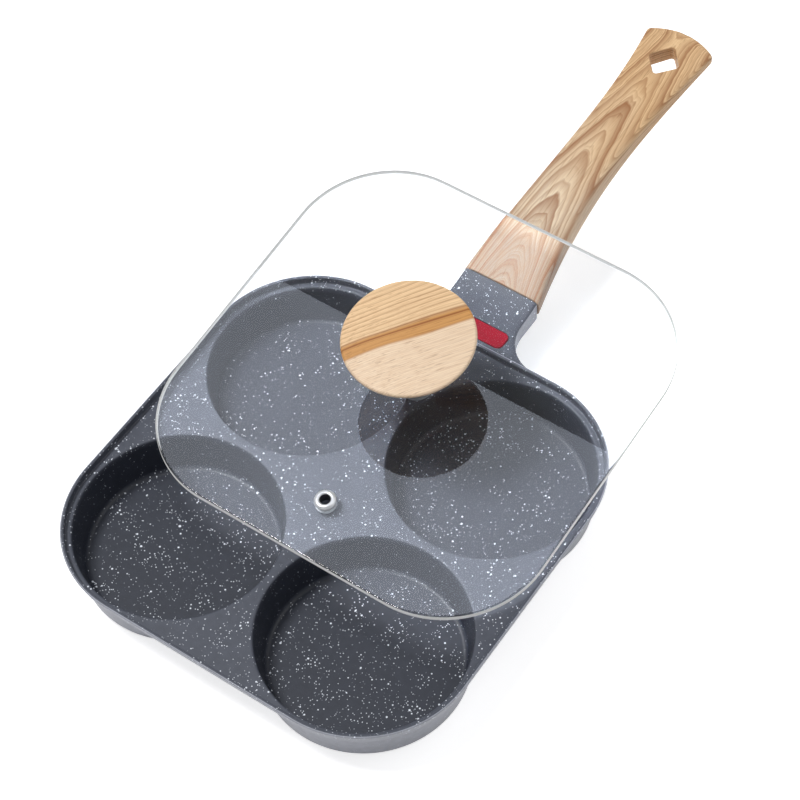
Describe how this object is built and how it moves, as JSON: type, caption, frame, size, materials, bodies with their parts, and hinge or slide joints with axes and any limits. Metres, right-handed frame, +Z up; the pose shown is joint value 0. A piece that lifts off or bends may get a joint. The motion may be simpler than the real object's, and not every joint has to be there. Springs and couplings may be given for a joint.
{
  "type": "four-cup egg pan",
  "caption": "Square frying pan with round egg cups, a raised rim, a wood-look handle with a hanging hole, and a flat vented glass lid with a round knob, leaning open.",
  "frame": {"origin": "on the surface the pan stands on, under the middle of its overall length, handle included", "axes": "+Y along the handle, away from the pan; +Z up; +X to the right seen from the pan's front"},
  "size_m": [0.19, 0.376, 0.0712],
  "materials": {
    "coating": "cast aluminium with a speckled dark grey non-stick coating",
    "inlay": "plain red silicone",
    "wood_look": "phenolic moulding with a pale oak print",
    "glass": "clear tempered glass with a polished edge",
    "steel": "bright stainless steel",
    "brass": "turned brass",
    "silicone": "translucent white silicone"
  },
  "bodies": {
    "pan": {"pan_body": "coating", "neck_inlay": "inlay", "handle_grip": "wood_look", "handle_screw": "steel", "handle_washer": "steel"},
    "lid": {"lid_glass": "glass", "lid_knob": "wood_look", "knob_insert": "brass", "knob_gasket_upper": "silicone", "knob_gasket_lower": "silicone", "knob_washer": "steel", "knob_screw": "steel", "vent_eyelet": "steel", "vent_washer": "steel"}
  },
  "joints": [
    {"name": "lid_lift", "type": "slide", "parent": "pan", "child": "lid", "axis": [0, 0, 1], "range_m": [0, 0.12]}
  ]
}
